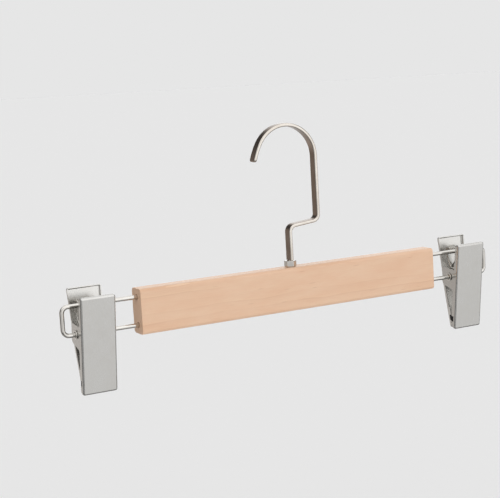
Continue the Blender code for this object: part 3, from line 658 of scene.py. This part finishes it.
crown = Vector((0, 0, hook_high.z - STRIP_THICK / 2 - CROWN_RADIUS))
strip_foot = Vector((0, 0, nut_high.z + PLAY))
crank = Vector((0, 0, bar_high.z + CRANK_HEIGHT))
crank_out = crank + Vector((CROWN_RADIUS, 0, CROWN_RADIUS * math.tan(CRANK_RISE)))
lip_pin = crown + (CROWN_RADIUS - LIP_RADIUS) * out_at(CROWN_ANGLE)
print("crown", round(1000 * (crown.z - crank.z), 1), "mm over the crank")

# %% Bend the strip
strip = bmesh.new()
bmesh.ops.create_grid(strip, x_segments=1, y_segments=1, size=0.5, matrix=Matrix.Translation(strip_foot))
bmesh.ops.scale(strip, vec=(STRIP_THICK, STRIP_WIDE, 1), verts=strip.verts)
bmesh.ops.bevel(strip, geom=strip.verts[:], offset=STRIP_EDGE, offset_type="OFFSET", segments=6, profile=0.5,
                affect="VERTICES", material=-1)
bmesh.ops.delete(strip, geom=strip.faces[:], context="FACES_ONLY")
front = run(strip, strip.edges[:], strip_foot, [(crank, CRANK_BEND), (crank_out, CRANK_BEND)],
            Vector((CROWN_RADIUS, 0, crown.z)))
for pin, angle in ((crown, CROWN_ANGLE), (lip_pin, LIP_ANGLE)):
    front = bend(strip, front, pin, Vector((0, -1, 0)), angle, step=math.radians(3))
print("hook strip:", len(strip.faces), "faces so far")

# %% Round the tip, and close the strip
TIP_RADIUS, TIP_EASE = 1.8 * MM, 0.9 * MM  # round of the tip across the strip, and through its thickness
TIP_STEPS, STRIP_END = 6, 0.25 * MM

outwards = out_at(CROWN_ANGLE + LIP_ANGLE)
tip_way = Vector((-outwards.z, 0, outwards.x))
section = Matrix((outwards, (0, 1, 0), tip_way)).transposed().to_4x4()
tip_start = lip_pin + LIP_RADIUS * outwards
reach, half_width, half_thick = 0.0, STRIP_WIDE / 2, STRIP_THICK / 2
for step in range(1, TIP_STEPS + 1):
    angle = math.radians(90 / TIP_STEPS * step)
    advance = TIP_RADIUS * math.sin(angle) - reach
    front = feed(strip, front, tip_way * advance)
    reach += advance
    width = STRIP_WIDE / 2 - TIP_RADIUS * (1 - math.cos(angle))
    past = max(reach - TIP_RADIUS + TIP_EASE, 0)
    thick = STRIP_THICK / 2 - TIP_EASE + math.sqrt(max(TIP_EASE ** 2 - past ** 2, 0))
    here = Matrix.Translation(tip_start + tip_way * reach) @ section
    bmesh.ops.scale(strip, vec=(thick / half_thick, width / half_width, 1), space=here.inverted(),
                    verts=list({vert for edge in front for vert in edge.verts}))
    half_width, half_thick = width, thick
strip = closed_wire(strip, STRIP_END)
print("tip rounded by", round(1000 * TIP_RADIUS, 1), "mm across and", round(1000 * TIP_EASE, 1), "mm through")

# %% A lathe
def outlined(outline, closed=False):
    """A section to turn: edges through these (radius, height) points, and back again where it is closed."""
    section = bmesh.new()
    points = [section.verts.new((radius, 0, height)) for radius, height in outline]
    for pair in zip(points, points[1:] + points[:1] if closed else points[1:]):
        section.edges.new(pair)
    return section


def turned(section):
    """Spins a section once round Z, and closes the seam and the poles."""
    bmesh.ops.spin(section, geom=section.edges[:], cent=(0, 0, 0), axis=(0, 0, 1), dvec=(0, 0, 0),
                   angle=math.tau, steps=48, use_merge=True, use_normal_flip=False, use_duplicate=False)
    bmesh.ops.remove_doubles(section, verts=section.verts, dist=SAME_PLACE)
    bmesh.ops.recalc_face_normals(section, faces=section.faces)
    return section


# %% Turn the shank and its riveted head
SHANK_RADIUS, SHANK_END, INTO_STRIP = 2.0 * MM, 0.8 * MM, 3.0 * MM
HEAD = [(3.2, 0), (3.4, 0.2), (3.3, 1.0), (2.6, 1.6), (1.4, 1.8), (0, 1.8)]  # radius and depth, in mm

head_top = washer_low.z - PLAY
shank_top = strip_foot.z + INTO_STRIP
shank_line = [(0, shank_top), (SHANK_END, shank_top), (SHANK_RADIUS, strip_foot.z), (SHANK_RADIUS, head_top)]
shank_line += [(radius * MM, head_top - depth * MM) for radius, depth in HEAD]
shank = turned(outlined(shank_line))
put_on("hook_strip", combined(strip, shank, "UNION"), strip_nickel_painted_shade, "hook")

# %% [markdown]
# ## Hexagon collar
#
# The hook turns in a hexagon collar that is pressed into the bar by a sleeve. Six-sided stock is turned on
# a lathe, so its corners are chamfered and its flats stay flat. A six-sided cone with equal radii is the
# stock, small bevels are the chamfers, and the sleeve and the bore are turned. The plain washer under the
# bar keeps its solid, which is already the right shape, and only gets a zinc finish.

# %% Collar and washer
CHAMFER, SLEEVE_RADIUS, SLEEVE_OVERLAP = 0.4 * MM, 3.1 * MM, 1 * MM
corner_radius = (nut_high.y - nut_low.y) / 2
hex_low = bar_high.z + PLAY
hex_middle = Matrix.Translation((0, 0, (hex_low + nut_high.z) / 2))

collar = bmesh.new()
bmesh.ops.create_cone(collar, cap_ends=True, segments=6, radius1=corner_radius, radius2=corner_radius,
                      depth=nut_high.z - hex_low, matrix=hex_middle)
ease(collar, collar.edges[:], CHAMFER, 3)
sleeve = rod((0, 0, nut_low.z), (0, 0, hex_low + SLEEVE_OVERLAP), SLEEVE_RADIUS)
bore = rod((0, 0, nut_low.z - BEYOND), (0, 0, nut_high.z + BEYOND), SHANK_BORE)
collar = combined(combined(collar, sleeve, "UNION"), bore, "DIFFERENCE")
put_on("hexagon_collar", collar, bright_nickel, "hook_nut", crease=35)
refinish("hook_washer", zinc)

# %% [markdown]
# ## Wire loops
#
# Each end of the bar carries a loop of 3 mm wire: a long leg, two bends, and a second leg. Both legs are
# let into the bar, so the wire is made at its full length and most of it stays in sight. The loops differ
# only in the side they face.

# %% Bend the wire loops
LOOP_BEND, WIRE_END = 4 * MM, 0.3 * MM  # radii of each bend and of the cut ends

for word, side in (("left", -1), ("right", 1)):
    low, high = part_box(f"{word}_wire_loop")
    root_x, bight_x = (high.x, low.x + wire_radius) if side < 0 else (low.x, high.x - wire_radius)
    start, upper, lower, end = (Vector((x, 0, z)) for x, z in (
        (root_x, upper_wire_z), (bight_x, upper_wire_z), (bight_x, lower_wire_z), (root_x, lower_wire_z)))
    loop, front = open_section(wire_radius, start, Vector((side, 0, 0)))
    run(loop, front, start, [(upper, LOOP_BEND), (lower, LOOP_BEND)], end)
    put_on(f"{word}_loop_wire", closed_wire(loop, WIRE_END), bright_nickel, f"{word}_wire_loop")

# %% [markdown]
# ## Clip jaws
#
# Each clip has two jaws, pressed from 0.8 mm sheet: a flat plate whose sides are folded into flanges, with
# a lip at the top to push on and one at the foot. The flange is shaped as the jaw is seen from the side. It
# runs out to an ear round the pivot, steps in at the throat where the wire passes, and widens to a nose
# that holds the rubber pad. The side view is drawn first, as a flat face. Drawing it out across the clip's
# width gives a block, and taking the block's back away leaves an open tray. Its corners are rounded first
# and then the folds that run along its plate, because a round that crosses another sharp edge stops there.
# Solidify gives the tray its wall, inwards, so that each fold has a round inside as well as outside.

# %% Sizes of the jaws, in millimetres over and out from the pivot
TILT = math.radians(7)  # each jaw leans in towards the foot
SHEET, FOLD, CORNER = 0.8, 1.4, 1.5
JAW_WIDTH = {"front": 23.8, "back": 21.6}
SIDE = {"front": -1, "back": 1}
FACE = {"front": 9.4, "back": 10.5}  # from the pivot to the plate
TOP = {"front": 25.8, "back": 29.8}
FOOT, NOSE_FOOT, NOSE_TOP, THROAT_FOOT = -38.5, -36.1, -24.5, -23.0
NOTCH_FOOT, NOTCH_TOP, NOTCH_DEPTH = -33.0, -29.0, 2.4  # holds a lug of the pad
MEETING, PAD_ROOM = 0.9, 2.0  # the pads meet this far behind the pivot, and each nose leaves them this room


def to_middle(jaw, height):
    """How deep a nose's flange is at this height."""
    return (FACE[jaw] - SIDE[jaw] * MEETING / math.cos(TILT) + height * math.tan(TILT)
            - PAD_ROOM / math.cos(TILT))


print("noses", [round(to_middle(jaw, NOSE_TOP), 1) for jaw in SIDE], "mm deep at their tops")

# %% Side views of the jaws: depth in from the plate, height over the pivot, corner radius
THROAT = {"front": 4.6, "back": 3.0}
FLANGE = {"front": 3.8, "back": 2.6}
TOP_LIP, FOOT_LIP, TOP_SLOPE = 2.6, 2.2, 2.6
EARS = {
    "front": [(THROAT["front"], -9.2, 2.2), (17.4, -7.0, 3.0), (17.4, 6.2, 2.0), (FLANGE["front"], 6.2, 1.0)],
    "back": [(THROAT["back"], -5.2, 1.4), (15.7, -5.2, 4.99), (15.7, 5.2, 4.99), (FLANGE["back"], 5.2, 1.0)],
}


def side_view(jaw):
    """The corners of a jaw's side view, from the plate's top round by its foot."""
    heights = (NOSE_FOOT, NOTCH_FOOT, NOTCH_TOP, NOSE_TOP)
    nose_foot, notch_foot, notch_top, nose_top = [(to_middle(jaw, height), height) for height in heights]
    return [(0, TOP[jaw], 0), (0, FOOT, 0), (FOOT_LIP, FOOT, 0), (*nose_foot, 1.0), (*notch_foot, 0),
            (NOTCH_DEPTH, NOTCH_FOOT, 0), (NOTCH_DEPTH, NOTCH_TOP, 0), (*notch_top, 0), (*nose_top, 0.4),
            (THROAT[jaw], THROAT_FOOT, 0.4), *EARS[jaw],
            (FLANGE[jaw], TOP[jaw] - TOP_SLOPE, 2.0), (TOP_LIP, TOP[jaw], 0)]


print("front jaw drawn with", len(side_view("front")), "corners, back jaw with", len(side_view("back")))

# %% Draw a block out of a side view
def drawn_block(jaw):
    """The side view with its corners rounded, drawn out across the jaw, with the pivot at the origin."""
    half, side = JAW_WIDTH[jaw] / 2 * MM, SIDE[jaw]
    block = bmesh.new()
    corners = side_view(jaw)
    points = [block.verts.new((-half, side * (FACE[jaw] - depth) * MM, height * MM))
              for depth, height, radius in corners]
    block.faces.new(points)
    for point, (depth, height, radius) in zip(points, corners):
        if radius:
            ends = [edge.other_vert(point).co - point.co for edge in point.link_edges]
            setback = radius * MM / math.tan(ends[0].angle(ends[1]) / 2)
            bmesh.ops.bevel(block, geom=[point], offset=setback, offset_type="OFFSET", segments=5,
                            profile=0.5, affect="VERTICES", material=-1)
    drawn = bmesh.ops.extrude_face_region(block, geom=block.faces[:])["geom"]
    far_side = [item for item in drawn if isinstance(item, bmesh.types.BMVert)]
    bmesh.ops.translate(block, vec=(2 * half, 0, 0), verts=far_side)
    return block


# %% Open the block to a tray, and fold and wall it
FLANGE_CORNERS = 10  # a face with more corners than this is one of the flanges
SQUARE, SPREAD, PINCH = 6.0, 1.1, 2.1  # the back jaw is square this near the pivot, then wider and narrower


def opened_tray(jaw):
    """A jaw as a tray without thickness: its plate, its flanges and its two lips, with rounded folds."""
    tray = drawn_block(jaw)
    face_y = SIDE[jaw] * FACE[jaw] * MM
    open_back = []
    for wall in tray.faces:
        middle = wall.calc_center_median()
        plate = abs(middle.y - face_y) < SAME_PLACE
        lip = min(abs(middle.z - height * MM) for height in (TOP[jaw], FOOT)) < SAME_PLACE
        if not (plate or lip or len(wall.verts) > FLANGE_CORNERS):
            open_back.append(wall)
    bmesh.ops.delete(tray, geom=open_back, context="FACES")
    bmesh.ops.recalc_face_normals(tray, faces=tray.faces)

    def in_plate(edge):
        return all(abs(vert.co.y - face_y) < SAME_PLACE for vert in edge.verts)

    ease(tray, [edge for edge in sharp_edges(tray, 60) if not in_plate(edge)], CORNER * MM, 6)
    ease(tray, [edge for edge in tray.edges if in_plate(edge)], FOLD * MM, 6)
    return tray


def taper(tray):
    """Draws the back jaw's sides out towards the top and in towards the foot."""
    for height in (SQUARE, -SQUARE):
        bmesh.ops.bisect_plane(tray, geom=tray.verts[:] + tray.edges[:] + tray.faces[:], dist=SAME_PLACE,
                               plane_co=(0, 0, height * MM), plane_no=(0, 0, 1))
    for vert in tray.verts:
        outwards = max(vert.co.z - SQUARE * MM, 0) * SPREAD / (TOP["back"] - SQUARE)
        inwards = max(-vert.co.z - SQUARE * MM, 0) * PINCH / (-FOOT - SQUARE)
        vert.co.x += math.copysign(1, vert.co.x) * (outwards - inwards)


def walled(tray):
    """The tray with the thickness of the sheet, inwards. The tray is used up."""
    work = on_bench(tray)
    wall = work.modifiers.new("wall", "SOLIDIFY")
    wall.thickness, wall.offset, wall.use_even_offset, wall.use_rim = SHEET * MM, -1, True, True
    return off_bench(work)


# %% Put the four jaws on
EYELET_HOLE, ARRIS = 2.5 * MM, 0.13 * MM  # radii of the pivot's hole and along every cut edge

for word, middle_x in clip_x.items():
    for jaw, side in SIDE.items():
        tray = opened_tray(jaw)
        if jaw == "back":
            taper(tray)
        plate = combined(walled(tray), rod((-BEYOND, 0, 0), (BEYOND, 0, 0), EYELET_HOLE), "DIFFERENCE")
        ease(plate, sharp_edges(plate, 50), ARRIS)
        hang = Matrix.Translation((middle_x, 0, lower_wire_z)) @ Matrix.Rotation(-side * TILT, 4, "X")
        bmesh.ops.transform(plate, matrix=hang, verts=plate.verts)
        put_on(f"{word}_{jaw}_plate", plate, satin_nickel, f"{word}_{jaw}_jaw")

# %% [markdown]
# ## Pivot eyelets
#
# The jaws turn on the lower wire, which runs through two eyelets. An eyelet is a short tube whose ends are
# rolled over: a turned piece, so its section is drawn once and spun about the wire. The rolled ends are
# what catches the light, so their corners are rounded by a bevel on the section's points before the spin.

# %% Roll an eyelet
BORE, TUBE, RIM, LIP, ROLL = 1.8 * MM, 2.2 * MM, 3.0 * MM, 0.6 * MM, 0.26 * MM
outer_seat = JAW_WIDTH["front"] / 2 * MM + PLAY
inner_seat = (JAW_WIDTH["back"] / 2 - SHEET) * MM - PLAY


def eyelet():
    """An eyelet about Z that clasps the ears of both jaws, its outer end up."""
    section = outlined([(BORE, outer_seat + LIP), (RIM, outer_seat + LIP), (RIM, outer_seat),
                        (TUBE, outer_seat), (TUBE, inner_seat),
                        (RIM, inner_seat), (RIM, inner_seat - LIP), (BORE, inner_seat - LIP)], closed=True)
    rolled = [point for point in section.verts if abs(point.co.x - TUBE) > SAME_PLACE]
    bmesh.ops.bevel(section, geom=rolled, offset=ROLL, offset_type="OFFSET", segments=4, profile=0.5,
                    affect="VERTICES", material=-1)
    return turned(section)


print("eyelets", round(1000 * (outer_seat - inner_seat + 2 * LIP), 1), "mm long")

# %% Put the eyelets on
for word, middle_x in clip_x.items():
    for place, out in (("outer", math.copysign(1, middle_x)), ("inner", -math.copysign(1, middle_x))):
        ring = eyelet()
        seat = (Matrix.Translation((middle_x, 0, lower_wire_z))
                @ Matrix.Rotation(math.radians(90 * out), 4, "Y"))
        bmesh.ops.transform(ring, matrix=seat, verts=ring.verts)
        put_on(f"{word}_{place}_rolled_eyelet", ring, bright_nickel, f"{word}_{place}_eyelet")

# %% [markdown]
# ## Clip springs
#
# A double torsion spring shuts each clip: one length of 1.1 mm wire with an outer leg on each side that
# pushes the front jaw, two coils behind and a little above the upper wire, and a bridge between them that
# passes over the wire and pushes the back jaw. The same bender makes it. The coil is a bend of four turns
# and a bit with a shift along X, the straight parts leave each round at a tangent, and the second half is
# the first one mirrored. A spring gives when its clip opens. It is made in two pieces that meet where a
# coil ends: the outer legs, which bear on the front jaw, and the bridge, which bears on the back jaw.

# %% Places of the spring, in (Y, Z) from the pivot
SPRING_WIRE, COIL_RADIUS, COIL_BACK, COIL_TURNS = 0.55 * MM, 1.8 * MM, 4.0 * MM, 4
OUTER_LEG, INNER_LEG = 9.1 * MM, 2.6 * MM  # out from the middle of the clip
TOE_HEIGHT, TOE_LENGTH = 4.2 * MM, 2.6 * MM
rise = upper_wire_z - lower_wire_z
over_wire = wire_radius + PLAY + SPRING_WIRE  # from the upper wire's middle to the spring's


def toe(jaw):
    """Where the spring's wire bears on the inside of a jaw."""
    reach = (FACE[jaw] - SHEET) * MM / math.cos(TILT) + TOE_HEIGHT * math.tan(TILT)
    return Vector((SIDE[jaw] * (reach - PLAY - SPRING_WIRE), TOE_HEIGHT))


wire_middle = Vector((0, rise))
coil = Vector((COIL_BACK, rise + math.sqrt((over_wire + COIL_RADIUS) ** 2 - COIL_BACK ** 2)))
low_knee, knee = Vector((1.1 * MM, 6.8 * MM)), Vector((COIL_BACK + COIL_RADIUS, rise - over_wire))
print("coils", round(1000 * (coil.y - rise), 1), "mm over the upper wire")

# %% Tangents of the spring
def polar(centre, radius, angle):
    """The point at this angle on a circle."""
    return centre + radius * Vector((math.cos(angle), math.sin(angle)))


to_knee = knee - coil
meets = math.atan2(to_knee.y, to_knee.x) + math.acos(COIL_RADIUS / to_knee.length)
between = coil - wire_middle
leaves = math.atan2(between.y, between.x) + math.acos((over_wire - COIL_RADIUS) / between.length)
down = toe("back") - wire_middle
wraps = math.tau + math.atan2(down.y, down.x) - math.acos(over_wire / down.length)
coil_end, wrap_end = polar(coil, COIL_RADIUS, leaves), polar(wire_middle, over_wire, wraps)
winding = COIL_TURNS * math.tau + leaves - meets
print("the coil's wire turns", round(math.degrees(winding)), "degrees")

# %% Wind half a spring
TOE_BEND, LOW_KNEE_BEND, KNEE_BEND, BRIDGE_BEND = 1.0 * MM, 2.4 * MM, 4.0 * MM, 0.9 * MM
CUT_ROUND = 0.15 * MM
across = Vector((1, 0, 0))


def at(x, point):
    """The place of a (Y, Z) point at this distance from the clip's middle."""
    return Vector((x, point.x, point.y))


def wound_coil():
    """One outer leg with its coil, about the clip's pivot."""
    foot = toe("front") + Vector((math.sin(TILT), -1)) * TOE_LENGTH
    shape, front = open_section(SPRING_WIRE, at(OUTER_LEG, foot), at(0, toe("front") - foot).normalized(), 14)
    corners = [(at(OUTER_LEG, corner), radius) for corner, radius in (
        (toe("front"), TOE_BEND), (low_knee, LOW_KNEE_BEND), (knee, KNEE_BEND))]
    front = run(shape, front, at(OUTER_LEG, foot), corners, at(OUTER_LEG, polar(coil, COIL_RADIUS, meets)))
    front = bend(shape, front, at(OUTER_LEG, coil), across, winding, (INNER_LEG - OUTER_LEG) * across,
                 math.radians(15))
    start = [edge for edge in shape.edges if edge.is_boundary and edge not in front]
    cap = bmesh.ops.holes_fill(shape, edges=start)["faces"][0]
    bmesh.ops.holes_fill(shape, edges=front)
    ease(shape, cap.edges[:], CUT_ROUND)
    return shape


def half_bridge():
    """Half of the loop from coil to coil, over the wire and down to the back jaw."""
    lead = polar(wire_middle, over_wire, leaves) - coil_end
    corner = at(INNER_LEG, toe("back"))
    shape, front = open_section(SPRING_WIRE, at(INNER_LEG, coil_end), at(0, lead).normalized(), 14)
    bmesh.ops.holes_fill(shape, edges=front)
    front = feed(shape, front, at(0, lead))
    front = bend(shape, front, at(INNER_LEG, wire_middle), across, wraps - leaves, step=math.radians(12))
    run(shape, front, at(INNER_LEG, wrap_end), [(corner, BRIDGE_BEND)], at(0, toe("back")))
    return shape


# %% Mirror the halves, and put the springs on
for word, middle_x in clip_x.items():
    pivot = Vector((middle_x, 0, lower_wire_z))
    for name, shape, jaw, follows in (("spring_coils", wound_coil(), "front", low_knee),
                                      ("spring_bridge", half_bridge(), "back", wrap_end)):
        bmesh.ops.mirror(shape, geom=shape.verts[:] + shape.edges[:] + shape.faces[:], axis="X",
                         merge_dist=SAME_PLACE)
        bmesh.ops.remove_doubles(shape, verts=shape.verts, dist=SAME_PLACE)
        bmesh.ops.recalc_face_normals(shape, faces=shape.faces)
        bmesh.ops.translate(shape, vec=pivot, verts=shape.verts)
        put_on(f"{word}_{name}", shape, spring_steel, f"{word}_spring", crease=60,
               flex=(f"{word}_{jaw}_jaw", pivot + at(0, follows), pivot + at(0, toe(jaw))))

# %% [markdown]
# ## Rubber pads
#
# The pads keep their solids, which already have their ribs and the lugs that hold them in the jaws. They
# only get the moulded rubber finish.

# %% Finish the pads
for word in clip_x:
    for jaw in SIDE:
        refinish(f"{word}_{jaw}_pad", rubber)
